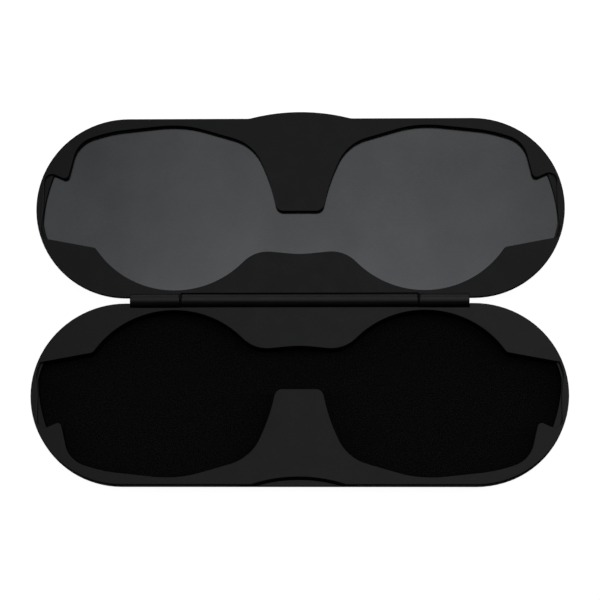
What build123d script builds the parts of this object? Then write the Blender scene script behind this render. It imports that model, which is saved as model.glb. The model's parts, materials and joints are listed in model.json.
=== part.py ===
"""Slim hard case for folding reading glasses, open on its hinge.

Two stadium-shaped halves lie side by side, joined along their long straight edges by a
barrel hinge. Each half is a thin aluminium shell with a moulded insert bonded inside it,
and the insert has a cut-out in the shape of a pair of glasses. A flocked pad lies on the
floor of the base, and a brushed sheet on the floor of the lid.

Frame: millimetres, +Z up. The origin is the middle of the flat underside of the base, X
runs along the hinge and +Y points from the base to the lid. The lid is drawn at its open
stop, a few degrees above flat.

Both halves are designed in the same half frame: u along the hinge, v outward from the
hinge axis and w up from the axis, so that all the material of a half lies below w = 0.
"""
from build123d import *
import os

# --- overall size -------------------------------------------------------------------
case_length = 148.0
end_radius = 25.6
edge_to_axis = 0.8          # from the hinge axis to the straight edge of each half
base_thickness = 5.7        # from the hinge axis down to the underside
lid_thickness = 2.8
parting_gap = 0.2           # between the two decks when the case is closed
lid_rise = 6.0              # the open lid stands this many degrees above flat

# --- shells -------------------------------------------------------------------------
base_floor = 1.1            # thicker than the lid's, so that the open case doesn't tip
lid_floor = 0.4
shell_wall = 1.0
base_back_round = 2.4
lid_back_round = 1.3
base_inner_round = 1.6
lid_inner_round = 0.9
fit_gap = 0.05              # between bonded pieces that slide into each other

# --- inserts, liner and inlay --------------------------------------------------------------
flange_thickness = 1.0      # the rim of an insert, which covers the edge of its shell
deck_edge_round = 0.25
recess_edge_round = 0.2
bond_thickness = 0.15
bond_inset = 2.6            # from the edge of the case to the edge of a bond film
liner_thickness = 0.6
liner_gap = 0.1
inlay_thickness = 0.2       # of the brushed sheet on the lid's floor
recess_end_inset = 1.5      # below the flange the recess stays this far inside the case's end
temple_guide_radius = 42.0  # and each temple end bears on an arc of this radius
temple_guide_reach = 72.15
temple_guide_v = 21.0

# --- thumb tab of the lid and thumb scoop of the base ---------------------------------
tab_reach = 53.9            # from the hinge axis
tab_radius = 55.0
tab_band = (40.0, 11.0)     # the part of the tab's disc that is kept, along u and v
tab_root_round = 4.0
scoop_reach = 49.8
scoop_radius = 41.0
scoop_depth = 1.6
scoop_lean = 0.6            # how far its wall leans outward, from top to bottom
scoop_wall = 1.0            # of the insert, round the scoop
scoop_lip = 0.7             # of the insert, under the scoop
scoop_edge_round = 0.2

# --- barrel, knuckles and pins ---------------------------------------------------------
barrel_radius = 1.8
barrel_end = 32.7
barrel_bore_radius = 0.95
barrel_end_round = 0.3
knuckle_start = 33.4
knuckle_end = 47.1
seat_gap = 0.02             # round a knuckle or bush, in the piece that carries it
barrel_seat_gap = 0.25      # round the middle barrel, in the base
swing_gap = 0.35            # round a barrel, in the half that turns about it
swing_end_gap = 0.1         # and past its end
swing_split = 33.05         # where the seat of one half ends and its swing notch begins
pin_radius = 0.75
pin_start = 24.0
pin_end = 45.4
running_gap = 0.03          # between a pin and its bush
bush_radius = 1.25
bush_length = 9.5
bush_flange_radius = 1.65
bush_flange_thickness = 0.65
cap_radius = 1.1

# --- hinge leaves and the stop, in the half frame -----------------------------------------
web_v = (0.1, 1.8)          # joins a barrel to its riser
web_w = (-2.0, -1.15)
barrel_riser_end = 31.5
barrel_leaf_end = 13.0
barrel_leaf_reach = 9.5
knuckle_riser = (34.0, 46.6)
knuckle_leaf = [(42.0, 1.7), (46.6, 1.7), (47.4, 3.4), (54.8, 3.8), (54.8, 7.6),
                (51.2, 7.6), (48.4, 5.7), (45.0, 4.2), (42.0, 3.1)]
leaf_thickness = 1.0
heel_u = (35.0, 45.6)
heel_v = (-0.72, 1.15)      # its face is the open stop, just clear of the base
heel_w = (-2.8, -1.2)

# --- screws of the hinge leaves --------------------------------------------------------
barrel_screws = [(-9.0, 7.0), (9.0, 7.0)]
knuckle_screw = (52.2, 5.7)
screw_radius = 0.8
screw_head_radius = 1.5
screw_head_height = 0.7
screw_length = 1.5
screw_slot = (0.4, 0.3)     # width and depth

# --- closing magnets ------------------------------------------------------------------
magnet_radius = 3.0
base_magnet_thickness = 3.0
lid_magnet_thickness = 1.4
magnet_u = 5.5
magnet_v = 43.0

# Half of the glasses cut-out, as corners (u, v, radius): down the nose land, over the
# lens and round the temple, then back along the hinge side to the middle.
recess_corners = [
    (6.4, 25.3, 2.2),       # foot of the nose land
    (8.2, 33.4, 50.0),      # flank of the nose land
    (13.2, 44.6, 12.5),     # inner corner of the lens
    (31.3, 49.95, 30.0),    # rim of the lens
    (38.0, 49.95, 40.0),
    (53.3, 48.3, 40.0),
    (62.8, 45.3, 8.0),      # outer corner of the lens
    (65.45, 34.33, 1.2),    # tooth between the lens and the temple
    (71.95, 37.25, 2.2),    # end of the temple
    (71.95, 26.2, 6.0),
    (72.7, 20.7, 3.0),
    (71.75, 17.75, 0.6),
    (57.2, 15.0, 1.5),      # where the temple meets the lens
    (38.05, -11.3, 26.6),   # round of the lens, on the hinge side
    (12.4, 14.25, 9.5),     # shoulder of the middle land
]
recess_middle = (0.0, 13.0, 30.0)

# --- derived ------------------------------------------------------------------------
mid_v = edge_to_axis + end_radius
end_centre_u = case_length / 2 - end_radius
front_v = edge_to_axis + 2 * end_radius
deck = -parting_gap / 2
flange_under = deck - flange_thickness
base_floor_top = -base_thickness + base_floor
lid_floor_top = -lid_thickness + lid_floor
base_insert_under = base_floor_top + bond_thickness
inlay_top = lid_floor_top + inlay_thickness
lid_insert_under = inlay_top + bond_thickness
scoop_floor = deck - scoop_depth
far = 200.0                 # longer than anything here
over = 1.0                  # how far a cutting body passes the face that it opens
tolerance = 0.01            # two heights or reaches are the same within this
SIDES = {"left": -1, "right": 1}

# The base is the half frame turned about Z, and the lid is the half frame tilted.
BASE = Location((0, mid_v, base_thickness), (0, 0, 180))
LID = Location((0, mid_v, base_thickness), (lid_rise, 0, 0))


# --- plans and simple bodies ------------------------------------------------------------
def stadium(inset=0.0):
    """The plan of one half, its edge moved in by inset."""
    radius = end_radius - inset
    ends = [Pos(side * end_centre_u, mid_v) * Circle(radius) for side in SIDES.values()]
    return Pos(0, mid_v) * Rectangle(2 * end_centre_u, 2 * radius) + ends


def lid_plan(inset=0.0):
    """The stadium with the thumb tab on its outer edge."""
    disc = Pos(0, tab_reach - tab_radius) * Circle(tab_radius - inset)
    band = Pos(0, front_v) * Rectangle(*tab_band)
    plan = stadium(inset) + (disc & band)
    corners = [p for p in plan.vertices() if abs(p.X) < tab_band[0] / 2]
    return fillet(corners, tab_root_round)


def recess_plan():
    """The glasses-shaped cut-out."""
    left = [(-u, v, r) for u, v, r in reversed(recess_corners)]
    corners = recess_corners + [recess_middle] + left
    points = [(u, v) for u, v, r in corners]
    radii = [r for u, v, r in corners]
    return make_face(FilletPolyline(*points, radius=radii, close=True))


def lower_recess_plan():
    """The cut-out below the flange, where its two ends are arcs."""
    plan = recess_plan() & stadium(recess_end_inset)
    for side in SIDES.values():
        centre = Pos(side * (temple_guide_reach - temple_guide_radius), temple_guide_v)
        half = Pos(-side * far / 2, 0) * Rectangle(far, far)
        plan = plan & (centre * Circle(temple_guide_radius) + half)
    return plan


def scoop_plan(grow=0.0):
    return Pos(0, scoop_reach + scoop_radius) * Circle(scoop_radius + grow)


def slab(plan, top, under):
    """A flat body on a plan, between two heights."""
    return Pos(0, 0, under) * extrude(plan, top - under, dir=(0, 0, 1))


def everything(top, under):
    """All the space between two heights."""
    return slab(Rectangle(far, far), top, under)


def block(u, v, w, grow=0.0):
    """A box given by its limits along u, v and w."""
    size = [abs(high - low) + 2 * grow for low, high in (u, v, w)]
    middle = [(low + high) / 2 for low, high in (u, v, w)]
    return Pos(*middle) * Box(*size)


def rod(start, end, radius):
    """A cylinder on the hinge axis, between two places along it."""
    return Pos((start + end) / 2) * Rot(0, 90, 0) * Cylinder(radius, abs(end - start))


def edges_at(body, height):
    """The edges of a body that lie flat at one height."""
    return body.edges().filter_by_position(Axis.Z, height - tolerance, height + tolerance)


# --- shells and inserts -------------------------------------------------------------------
def envelope(plan, thickness, back_round):
    """The outer form of one half, with its rounded back and deck edges."""
    body = slab(plan, deck, -thickness)
    body = fillet(edges_at(body, -thickness), back_round)
    return fillet(edges_at(body, deck), deck_edge_round)


def hollow(plan, under, inner_round):
    """The space inside a shell, rounded along the bottom."""
    body = slab(plan, flange_under, under)
    return fillet(edges_at(body, under), inner_round)


def scoop_space():
    """The cut of the thumb scoop, with its leaning wall."""
    lean = Cone(scoop_radius - scoop_lean, scoop_radius, scoop_depth)
    middle = Pos(0, scoop_reach + scoop_radius, deck - scoop_depth / 2)
    return slab(scoop_plan(), deck + over, deck) + middle * lean


def scoop_block(outer):
    """The part of the base insert that lines the thumb scoop."""
    return outer & slab(scoop_plan(scoop_wall), deck, scoop_floor - scoop_lip)


def recess(under):
    """The cut through an insert, which leaves a small ledge round each temple end."""
    upper = slab(recess_plan(), deck + over, flange_under)
    return upper + slab(lower_recess_plan(), flange_under, under - over)


def inside_rim(edge):
    """True for an edge of the deck that isn't part of its outer rim."""
    point = edge @ 0.5
    past_centre = max(abs(point.X) - end_centre_u, 0)
    return (past_centre ** 2 + (point.Y - mid_v) ** 2) ** 0.5 < end_radius - shell_wall


def on_scoop(edge):
    """True for an edge of the deck on the arc of the thumb scoop."""
    point = edge @ 0.5
    reach = (point.X ** 2 + (point.Y - scoop_reach - scoop_radius) ** 2) ** 0.5
    return abs(reach - scoop_radius) < tolerance


def make_insert(outer, core, under):
    """An insert before it is cut for magnets, scoop and hinge."""
    body = (outer & everything(deck, flange_under)) + core
    body = body - recess(under)
    return fillet([e for e in edges_at(body, deck) if inside_rim(e)], recess_edge_round)


def magnet_spaces(under, thickness, grow=0.0):
    """The two magnets of a half, by side, as bodies of the half frame."""
    disc = slab(Circle(magnet_radius + grow), under + thickness, under)
    return {side: Pos(sign * magnet_u, magnet_v) * disc for side, sign in SIDES.items()}


def make_bond(plan, under):
    """The film that bonds an insert to the floor of its shell."""
    return slab(plan - recess_plan(), under, under - bond_thickness)


def make_liner(inner):
    """The flocked pad on the floor of the base recess."""
    plan = offset(lower_recess_plan(), -liner_gap)
    return slab(plan, base_floor_top + liner_thickness, base_floor_top) & inner


def make_inlay(inner):
    """The brushed sheet on the floor of the lid, under the insert."""
    return everything(inlay_top, lid_floor_top) & inner


# --- hinge ----------------------------------------------------------------------------------
def rounded_rod(start, end, radius):
    """A rod with its two end edges rounded."""
    body = rod(start, end, radius)
    return fillet(body.edges().filter_by(GeomType.CIRCLE), barrel_end_round)


def barrel_mounting(outer, grow=0.0):
    """The riser and leaf that hold the middle barrel to the base."""
    ends = (-barrel_riser_end, barrel_riser_end)
    wall = (edge_to_axis, edge_to_axis + shell_wall)
    riser = block(ends, wall, (base_insert_under, flange_under), grow) & outer
    leaf = block((-barrel_leaf_end, barrel_leaf_end), (wall[0], barrel_leaf_reach),
                 (base_insert_under, base_insert_under + leaf_thickness), grow)
    return riser + (leaf & outer)


def knuckle_mounting(outer, side, grow=0.0):
    """The riser and leaf that hold one end knuckle to the lid."""
    ends = (side * knuckle_riser[0], side * knuckle_riser[1])
    wall = (edge_to_axis, edge_to_axis + shell_wall)
    riser = block(ends, wall, (lid_insert_under, flange_under), grow) & outer
    outline = make_face(Polyline(*[(side * u, v) for u, v in knuckle_leaf], close=True))
    if grow:
        outline = offset(outline, grow)
    leaf = slab(outline, lid_insert_under + leaf_thickness + grow, lid_insert_under - grow)
    return riser + leaf


def screw_places(points, under):
    return [Pos(u, v, under) for u, v in points]


def screw(grow=0.0):
    """A countersunk screw, its head at w = 0 and its tip above."""
    head = Cone(screw_head_radius + grow, screw_radius + grow, screw_head_height)
    shank = Cylinder(screw_radius + grow, screw_length)
    return Pos(0, 0, screw_head_height / 2) * head + Pos(0, 0, screw_length / 2) * shank


def make_screws(places):
    """The screws of one half, as separate solids."""
    slot = Box(3 * screw_head_radius, screw_slot[0], 2 * screw_slot[1])
    return Compound([place * (screw() - slot) for place in places])


def make_barrel(outer):
    """The middle barrel of the hinge, with its riser and leaf."""
    ends = (-barrel_riser_end, barrel_riser_end)
    body = rounded_rod(-barrel_end, barrel_end, barrel_radius)
    body = body + block(ends, web_v, web_w) + barrel_mounting(outer)
    body = body - rod(-barrel_end, barrel_end, barrel_bore_radius)
    for sign in SIDES.values():
        seat = rod(sign * (barrel_end - bush_length), sign * barrel_end, bush_radius + seat_gap)
        body = body - seat
    for place in screw_places(barrel_screws, base_insert_under):
        body = body - place * screw(seat_gap)
    return body


def make_knuckle(outer, side):
    """An end knuckle of the hinge, with its leaf and the heel that stops the lid."""
    ends = [side * u for u in knuckle_riser]
    body = rounded_rod(side * knuckle_start, side * knuckle_end, barrel_radius)
    body = body + block(ends, web_v, web_w) + knuckle_mounting(outer, side)
    heel = block([side * u for u in heel_u], heel_v, heel_w)
    body = body + Rot(-lid_rise, 0, 0) * heel
    body = body - rod(side * knuckle_start, side * pin_end, pin_radius + seat_gap)
    body = body - rod(side * pin_end, side * knuckle_end, cap_radius + seat_gap)
    u, v = knuckle_screw
    return body - Pos(side * u, v, lid_insert_under) * screw(seat_gap)


def make_bush(side):
    """A flanged bush that lines one end of the barrel."""
    sleeve = rod(side * (barrel_end - bush_length), side * barrel_end, bush_radius)
    flange_end = side * (barrel_end + bush_flange_thickness)
    body = sleeve + rod(side * barrel_end, flange_end, bush_flange_radius)
    return body - rod(0, side * knuckle_start, pin_radius + running_gap)


def make_pin(side):
    return rod(side * pin_start, side * pin_end, pin_radius)


def make_cap(side):
    return rod(side * pin_end, side * knuckle_end, cap_radius)


def base_hinge_cuts():
    """What the base gives up for the hinge: a seat, two swing notches and the leaf."""
    cuts = rod(-swing_split, swing_split, barrel_radius + barrel_seat_gap)
    for sign in SIDES.values():
        notch_end = knuckle_end + swing_end_gap
        cuts = cuts + rod(sign * swing_split, sign * notch_end, barrel_radius + swing_gap)
    cuts = cuts + barrel_mounting(everything(far, -far), fit_gap)
    for place in screw_places(barrel_screws, base_insert_under):
        cuts = cuts + place * screw(seat_gap)
    return cuts


def lid_hinge_cuts():
    """What the lid gives up for the hinge: a swing notch, two seats and two leaves."""
    cuts = rod(-swing_split, swing_split, barrel_radius + swing_gap)
    for sign in SIDES.values():
        seat_end = knuckle_end + fit_gap
        cuts = cuts + rod(sign * swing_split, sign * seat_end, barrel_radius + seat_gap)
        cuts = cuts + knuckle_mounting(everything(far, -far), sign, fit_gap)
        u, v = knuckle_screw
        cuts = cuts + Pos(sign * u, v, lid_insert_under) * screw(seat_gap)
    return cuts


# --- the two halves --------------------------------------------------------------------------
def build_base():
    """Every node of the base, in the half frame."""
    outer = envelope(stadium(), base_thickness, base_back_round)
    core = hollow(stadium(shell_wall + fit_gap), base_insert_under, base_inner_round)
    cuts = base_hinge_cuts()
    pad_space = hollow(stadium(shell_wall + liner_gap), base_floor_top, base_inner_round)

    shell = outer - everything(far, flange_under) - cuts
    shell = shell - hollow(stadium(shell_wall), base_floor_top, base_inner_round)
    shell = shell - scoop_block(outer)

    insert = make_insert(outer, core + scoop_block(outer), base_insert_under)
    insert = insert - scoop_space()
    brow = edges_at(insert, deck).filter_by(on_scoop)
    insert = fillet(brow, scoop_edge_round) - cuts
    for space in magnet_spaces(base_insert_under, base_magnet_thickness, fit_gap).values():
        insert = insert - space
    magnets = magnet_spaces(base_insert_under, base_magnet_thickness)

    nodes = {
        "base_shell": shell,
        "base_insert": insert,
        "base_bond_film": make_bond(stadium(bond_inset), base_insert_under),
        "base_liner": make_liner(pad_space),
        "hinge_barrel": make_barrel(outer),
        "base_leaf_screws": make_screws(screw_places(barrel_screws, base_insert_under)),
    }
    for side, sign in SIDES.items():
        nodes["base_magnet_" + side] = magnets["left" if side == "right" else "right"]
        nodes["hinge_bush_" + side] = make_bush(-sign)
    return nodes


def build_lid():
    """Every node of the lid, in the half frame."""
    outer = envelope(lid_plan(), lid_thickness, lid_back_round)
    core = hollow(lid_plan(shell_wall + fit_gap), lid_insert_under, lid_inner_round)
    cuts = lid_hinge_cuts()
    sheet_space = hollow(lid_plan(shell_wall + fit_gap), lid_floor_top, lid_inner_round)

    shell = outer - everything(far, flange_under) - cuts
    shell = shell - hollow(lid_plan(shell_wall), lid_floor_top, lid_inner_round)

    insert = make_insert(outer, core, lid_insert_under) - cuts
    for space in magnet_spaces(lid_insert_under, lid_magnet_thickness, fit_gap).values():
        insert = insert - space

    screws = [(sign * knuckle_screw[0], knuckle_screw[1]) for sign in SIDES.values()]
    nodes = {
        "lid_shell": shell,
        "lid_insert": insert,
        "lid_inlay": make_inlay(sheet_space),
        "lid_bond_film": make_bond(lid_plan(bond_inset), lid_insert_under),
        "lid_leaf_screws": make_screws(screw_places(screws, lid_insert_under)),
    }
    for side, space in magnet_spaces(lid_insert_under, lid_magnet_thickness).items():
        nodes["lid_magnet_" + side] = space
    for side, sign in SIDES.items():
        nodes["lid_knuckle_" + side] = make_knuckle(outer, sign)
        nodes["hinge_pin_" + side] = make_pin(sign)
        nodes["hinge_cap_" + side] = make_cap(sign)
    return nodes


def main():
    os.makedirs("parts", exist_ok=True)
    for place, nodes in ((BASE, build_base()), (LID, build_lid())):
        for name, body in nodes.items():
            export_step(place * body, os.path.join("parts", name + ".step"))


main()
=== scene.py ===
"""Looks of a slim hard case for folding reading glasses, open on its hinge."""

import json
import math

import bpy
from mathutils import Matrix, Vector

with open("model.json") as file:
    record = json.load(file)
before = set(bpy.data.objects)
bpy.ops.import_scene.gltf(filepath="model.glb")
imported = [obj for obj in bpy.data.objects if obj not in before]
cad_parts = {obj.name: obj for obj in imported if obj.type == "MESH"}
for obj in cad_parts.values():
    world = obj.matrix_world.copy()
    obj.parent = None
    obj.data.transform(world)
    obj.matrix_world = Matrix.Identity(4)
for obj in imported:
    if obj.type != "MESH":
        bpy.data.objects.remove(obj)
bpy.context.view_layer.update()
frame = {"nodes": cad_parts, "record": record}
nodes = frame["nodes"]

MM = 0.001
HINGE_PLACE = Vector(frame["record"]["behaviour"]["joints"][0]["pos_m"])


# --- materials --------------------------------------------------------------------------
def start_material(name, colour, metallic, roughness, specular):
    """A material with a principled surface of even colour, ready for its textures."""
    material = bpy.data.materials.new(name)
    material.use_nodes = True
    tree = material.node_tree
    surface = tree.nodes["Principled BSDF"]
    surface.inputs["Base Color"].default_value = (*colour, 1.0)
    surface.inputs["Metallic"].default_value = metallic
    surface.inputs["Roughness"].default_value = roughness
    surface.inputs["Specular IOR Level"].default_value = specular
    place = tree.nodes.new("ShaderNodeTexCoord")
    return material, tree, surface, place.outputs["Object"]


def stretched(tree, place, scale):
    """The object's own coordinates, scaled along each axis."""
    mapping = tree.nodes.new("ShaderNodeMapping")
    mapping.inputs["Scale"].default_value = scale
    tree.links.new(place, mapping.inputs["Vector"])
    return mapping.outputs["Vector"]


def noise(tree, place, size, detail=2.0, roughness=0.5):
    """A noise whose features are about size metres wide."""
    node = tree.nodes.new("ShaderNodeTexNoise")
    node.inputs["Scale"].default_value = 1.0 / size
    node.inputs["Detail"].default_value = detail
    node.inputs["Roughness"].default_value = roughness
    tree.links.new(place, node.inputs["Vector"])
    return node.outputs["Fac"]


def spread(tree, value, low, high, start=0.3, end=0.7):
    """Takes a value between start and end to one between low and high."""
    node = tree.nodes.new("ShaderNodeMapRange")
    node.inputs["From Min"].default_value = start
    node.inputs["From Max"].default_value = end
    node.inputs["To Min"].default_value = low
    node.inputs["To Max"].default_value = high
    tree.links.new(value, node.inputs["Value"])
    return node.outputs["Result"]


def tint(tree, value, dark, light):
    """A colour between two, by a value from 0 to 1."""
    node = tree.nodes.new("ShaderNodeMix")
    node.data_type = "RGBA"
    node.inputs["A"].default_value = (*dark, 1.0)
    node.inputs["B"].default_value = (*light, 1.0)
    tree.links.new(value, node.inputs["Factor"])
    return node.outputs["Result"]


def add(tree, first, second, share=1.0):
    """The first value plus a share of the second."""
    node = tree.nodes.new("ShaderNodeMath")
    node.operation = "MULTIPLY_ADD"
    node.inputs[1].default_value = share
    tree.links.new(second, node.inputs[0])
    tree.links.new(first, node.inputs[2])
    return node.outputs["Value"]


def relief(tree, surface, height, depth, strength=1.0):
    """Bumps of that depth, in metres."""
    node = tree.nodes.new("ShaderNodeBump")
    node.inputs["Distance"].default_value = depth
    node.inputs["Strength"].default_value = strength
    tree.links.new(height, node.inputs["Height"])
    tree.links.new(node.outputs["Normal"], surface.inputs["Normal"])


def soft_touch(name, specular):
    """Satin black plastic with a fine, even grain."""
    material, tree, surface, place = start_material(
        name, (0.002, 0.002, 0.0021), 0.0, 0.32, specular)
    grain = noise(tree, place, 0.3 * MM, 3.0)
    cloud = noise(tree, place, 5 * MM, 4.0)
    mixed = add(tree, grain, cloud)
    tree.links.new(spread(tree, mixed, 0.26, 0.38, 0.75, 1.25), surface.inputs["Roughness"])
    shade = tint(tree, spread(tree, grain, 0, 1), (0.0015, 0.0015, 0.0016),
                 (0.0025, 0.0025, 0.0027))
    tree.links.new(shade, surface.inputs["Base Color"])
    relief(tree, surface, grain, 0.006 * MM)
    return material


def anodised():
    """Matt black anodising over a blasted surface."""
    material, tree, surface, place = start_material(
        "anodised_shell", (0.012, 0.012, 0.0125), 0.0, 0.52, 0.5)
    grain = noise(tree, place, 0.09 * MM, 2.0)
    cloud = noise(tree, place, 14 * MM, 4.0)
    tree.links.new(spread(tree, cloud, 0.48, 0.57), surface.inputs["Roughness"])
    shade = tint(tree, spread(tree, grain, 0, 1), (0.010, 0.010, 0.0104),
                 (0.015, 0.015, 0.0157))
    tree.links.new(shade, surface.inputs["Base Color"])
    relief(tree, surface, grain, 0.006 * MM)
    return material


def brushed():
    """Grey brushed aluminium, its fine grain along the length of the case."""
    material, tree, surface, place = start_material(
        "brushed_inlay", (0.278, 0.283, 0.293), 1.0, 0.15, 0.5)
    along = stretched(tree, place, (0.12, 1.0, 1.0))
    strokes = noise(tree, along, 0.13 * MM, 2.0, 0.6)
    cloud = noise(tree, place, 16 * MM, 3.0)
    mixed = add(tree, strokes, cloud, 1.1)
    shade = tint(tree, spread(tree, mixed, 0, 1, 0.7, 1.4), (0.246, 0.250, 0.259),
                 (0.310, 0.316, 0.327))
    tree.links.new(shade, surface.inputs["Base Color"])
    tree.links.new(spread(tree, add(tree, strokes, cloud, 0.8), 0.135, 0.165, 0.6, 1.2),
                   surface.inputs["Roughness"])
    relief(tree, surface, strokes, 0.001 * MM)
    return material


def shaded_wall_plastic():
    """The same plastic, darker and matt, down the walls of the recesses: painted shade."""
    material, tree, surface, place = start_material(
        "soft_touch_painted_shade", (0.001, 0.001, 0.001), 0.0, 0.85, 0.12)
    grain = noise(tree, place, 0.15 * MM, 3.0)
    tree.links.new(spread(tree, grain, 0.8, 0.95), surface.inputs["Roughness"])
    shade = tint(tree, spread(tree, grain, 0, 1), (0.0006, 0.0006, 0.0006),
                 (0.0018, 0.0018, 0.0018))
    tree.links.new(shade, surface.inputs["Base Color"])
    relief(tree, surface, grain, 0.01 * MM)
    return material


def flock():
    """Short black fibres, with the light that their tips catch painted as pale specks in the
    colour.
    """
    material, tree, surface, place = start_material(
        "flock", (0.012, 0.012, 0.0125), 0.0, 0.95, 0.05)
    tufts_and_glints = noise(tree, place, 0.28 * MM, 4.0, 0.75)
    # The pale specks in the colour are painted glints on the fibre tips; the same noise gives the
    # tufts their relief.
    shade = tint(tree, spread(tree, tufts_and_glints, 0, 1, 0.42, 0.72), (0.0015, 0.0015, 0.0017),
                 (0.055, 0.055, 0.054))
    tree.links.new(shade, surface.inputs["Base Color"])
    relief(tree, surface, tufts_and_glints, 0.12 * MM)
    return material


def coated_steel():
    """Satin black coating on the barrels of the hinge."""
    material, tree, surface, place = start_material(
        "hinge_metal", (0.1, 0.1, 0.102), 1.0, 0.42, 0.5)
    grain = noise(tree, place, 0.2 * MM, 3.0)
    wear = noise(tree, stretched(tree, place, (0.4, 1.0, 1.0)), 3 * MM, 3.0)
    tree.links.new(spread(tree, add(tree, grain, wear), 0.36, 0.48, 0.8, 1.2),
                   surface.inputs["Roughness"])
    relief(tree, surface, grain, 0.004 * MM)
    return material


def simple(name, colour, metallic, roughness, grain_size, depth):
    """A small part's surface, with fine grain in its roughness and relief."""
    material, tree, surface, place = start_material(name, colour, metallic, roughness, 0.5)
    grain = noise(tree, place, grain_size, 3.0)
    tree.links.new(spread(tree, grain, 0.85 * roughness, 1.15 * roughness),
                   surface.inputs["Roughness"])
    relief(tree, surface, grain, depth)
    return material


looks = {
    "soft_touch_plastic": soft_touch("soft_touch_plastic", 0.70),
    "anodised_shell": anodised(),
    "brushed_inlay": brushed(),
    "flock": flock(),
    "hinge_metal": coated_steel(),
    "bond_film": simple("bond_film", (0.02, 0.02, 0.02), 0.0, 0.7, 0.5 * MM, 0.01 * MM),
    "pin_steel": simple("pin_steel", (0.55, 0.55, 0.56), 1.0, 0.25, 0.1 * MM, 0.001 * MM),
    "bush_plastic": simple("bush_plastic", (0.001, 0.001, 0.001), 0.0, 0.8, 0.1 * MM, 0.002 * MM),
    "magnet_plating": simple("magnet_plating", (0.6, 0.6, 0.62), 1.0, 0.18, 0.2 * MM, 0.001 * MM),
    "screw_steel": simple("screw_steel", (0.05, 0.05, 0.05), 1.0, 0.4, 0.1 * MM, 0.002 * MM),
}

for part in frame["record"]["subparts"]:
    mesh = nodes[part["node"]].data
    mesh.materials.clear()
    mesh.materials.append(looks[part["material_slot"]])

# The insert of the base gets a shinier copy of the plastic: painted light, so that it looks
# brighter than the lid.
nodes["base_insert"].data.materials[0] = soft_touch("soft_touch_base_painted_light", 0.86)


# --- painted shade: darker, matt plastic on the walls of the recesses and the scoop -----
# Each half has its own frame: its origin is on the hinge axis, and y runs across the half.
LID_RISE = math.radians(6)
TO_HALF = {
    "base_insert": Matrix.Rotation(math.pi, 3, "Z"),
    "lid_insert": Matrix.Rotation(-LID_RISE, 3, "X"),
}

# A half is a stadium: two round ends, with straight edges between their centres.
END_RADIUS = 25.6 * MM
END_CENTRE = 48.4 * MM
MIDDLE = 26.4 * MM
EDGE_LAND = 1.5 * MM

# The thumb scoop is an arc about a centre beyond the front edge.
SCOOP_RADIUS = 41.0 * MM
SCOOP_CENTRE = 90.8 * MM
BEFORE_SCOOP = -0.2 * MM
SCOOP_WALL = 0.8 * MM

# A face is steep when the upright part of its normal is below this.
STEEP = 0.45


def is_wall(point, normal):
    """True for a steep face of a recess or the scoop, in its half's own frame."""
    if abs(normal.z) > STEEP:
        return False
    past_centre = max(abs(point.x) - END_CENTRE, 0)
    reach = math.hypot(past_centre, point.y - MIDDLE)
    in_recess = reach < END_RADIUS - EDGE_LAND
    into_scoop = SCOOP_RADIUS - math.hypot(point.x, point.y - SCOOP_CENTRE)
    return in_recess or BEFORE_SCOOP < into_scoop < SCOOP_WALL


# Painted shade: the steep walls of the recesses and the scoop get a darker, duller copy of the
# plastic.
painted_shade_look = shaded_wall_plastic()
for name, turn in TO_HALF.items():
    mesh = nodes[name].data
    mesh.materials.append(painted_shade_look)
    for face in mesh.polygons:
        if is_wall(turn @ (face.center - HINGE_PLACE), turn @ face.normal):
            face.material_index = 1


# --- the floor --------------------------------------------------------------------------
PAPER_SIZE = 6
PAPER_DROP = 0.02 * MM

bpy.ops.mesh.primitive_plane_add(size=PAPER_SIZE, location=(0, 0, -PAPER_DROP))
floor = bpy.context.object
floor.name = "floor"
paper = bpy.data.materials.new("paper")
paper.use_nodes = True
paper_surface = paper.node_tree.nodes["Principled BSDF"]
paper_surface.inputs["Base Color"].default_value = (0.9, 0.9, 0.9, 1)
paper_surface.inputs["Roughness"].default_value = 0.9
paper_surface.inputs["Specular IOR Level"].default_value = 0.0
paper_surface.inputs["Emission Color"].default_value = (1, 1, 1, 1)
paper_surface.inputs["Emission Strength"].default_value = 0.93
floor.data.materials.append(paper)

# The glowing paper lights the case, but the case doesn't mirror it.
floor.visible_glossy = False


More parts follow.
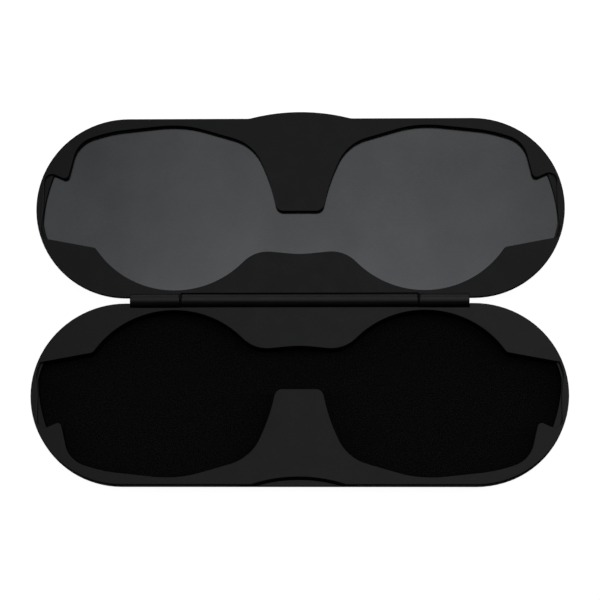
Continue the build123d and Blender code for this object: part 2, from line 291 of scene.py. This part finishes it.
# --- the lights -------------------------------------------------------------------------
# For each softbox: its place, its width and height, all in metres, and its radiance.
SOFTBOXES = {
    "top_light": ((0.05, 0.15, 1.3), (1.5, 2.2), 0.12),
    "key_light": ((0.0, 0.10, 1.3), (0.34, 1.4), 0.103),
    "back_light": ((0.4, 0.66, 1.22), (1.2, 0.8), 0.15),
    "right_strip": ((0.43, 0.15, 1.27), (0.26, 1.6), 0.06),
    "left_strip": ((-0.50, 0.15, 1.27), (0.26, 1.6), 0.05),
    "left_light": ((-1.6, 0.2, 0.9), (0.6, 1.2), 0.6),
    "right_light": ((1.6, 0.2, 0.9), (0.6, 1.2), 0.7),
    "far_wall": ((0, 2.0, 0.6), (4.0, 0.9), 0.3),
    "left_wall": ((-2.0, 0, 0.6), (3.0, 0.9), 0.2),
    "right_wall": ((2.0, 0, 0.6), (3.0, 0.9), 0.2),
    "near_wall": ((0, -2.0, 0.6), (4.0, 0.9), 0.02),
}
LIGHT_COLOUR = (0.985, 1.0, 1.02)

# The lights and the camera face a point beside the middle of the hinge axis.
target = HINGE_PLACE + Vector((0.14, 0.05, 0)) * MM


def point_at(thing, place):
    """Turns a light or a camera to face that place."""
    thing.rotation_euler = (place - thing.location).to_track_quat("-Z", "Y").to_euler()


def softbox(name, place, size, radiance):
    """An even light of that radiance, a rectangle facing the target."""
    width, height = size
    data = bpy.data.lights.new(name, "AREA")
    data.shape = "RECTANGLE"
    data.size = width
    data.size_y = height
    data.energy = radiance * math.pi * width * height
    data.color = LIGHT_COLOUR
    lamp = bpy.data.objects.new(name, data)
    lamp.location = place
    bpy.context.scene.collection.objects.link(lamp)
    point_at(lamp, target)


for name, (place, size, radiance) in SOFTBOXES.items():
    softbox(name, place, size, radiance)

world = bpy.data.worlds.new("room")
world.use_nodes = True
room = world.node_tree.nodes["Background"]
room.inputs["Color"].default_value = (1, 1, 1, 1)
room.inputs["Strength"].default_value = 0.004
scene = bpy.context.scene
scene.world = world


# --- the camera -------------------------------------------------------------------------
elevation = math.radians(74.14)
azimuth = math.radians(5.48)
roll = math.radians(-5.37)
distance = 617.4 * MM
camera_data = bpy.data.cameras.new("camera")
camera_data.sensor_width = 36.0
camera_data.lens = 133.37
camera_data.clip_start = 10 * MM
camera = bpy.data.objects.new("camera", camera_data)
outward = Vector((math.sin(azimuth), -math.cos(azimuth), 0)) * math.cos(elevation)
camera.location = target + distance * (outward + Vector((0, 0, math.sin(elevation))))
scene.collection.objects.link(camera)
point_at(camera, target)
camera.rotation_euler.rotate_axis("Z", roll)
scene.camera = camera

scene.view_settings.view_transform = "Standard"
scene.view_settings.look = "None"
scene.view_settings.exposure = 0.0
scene.view_settings.gamma = 1.0
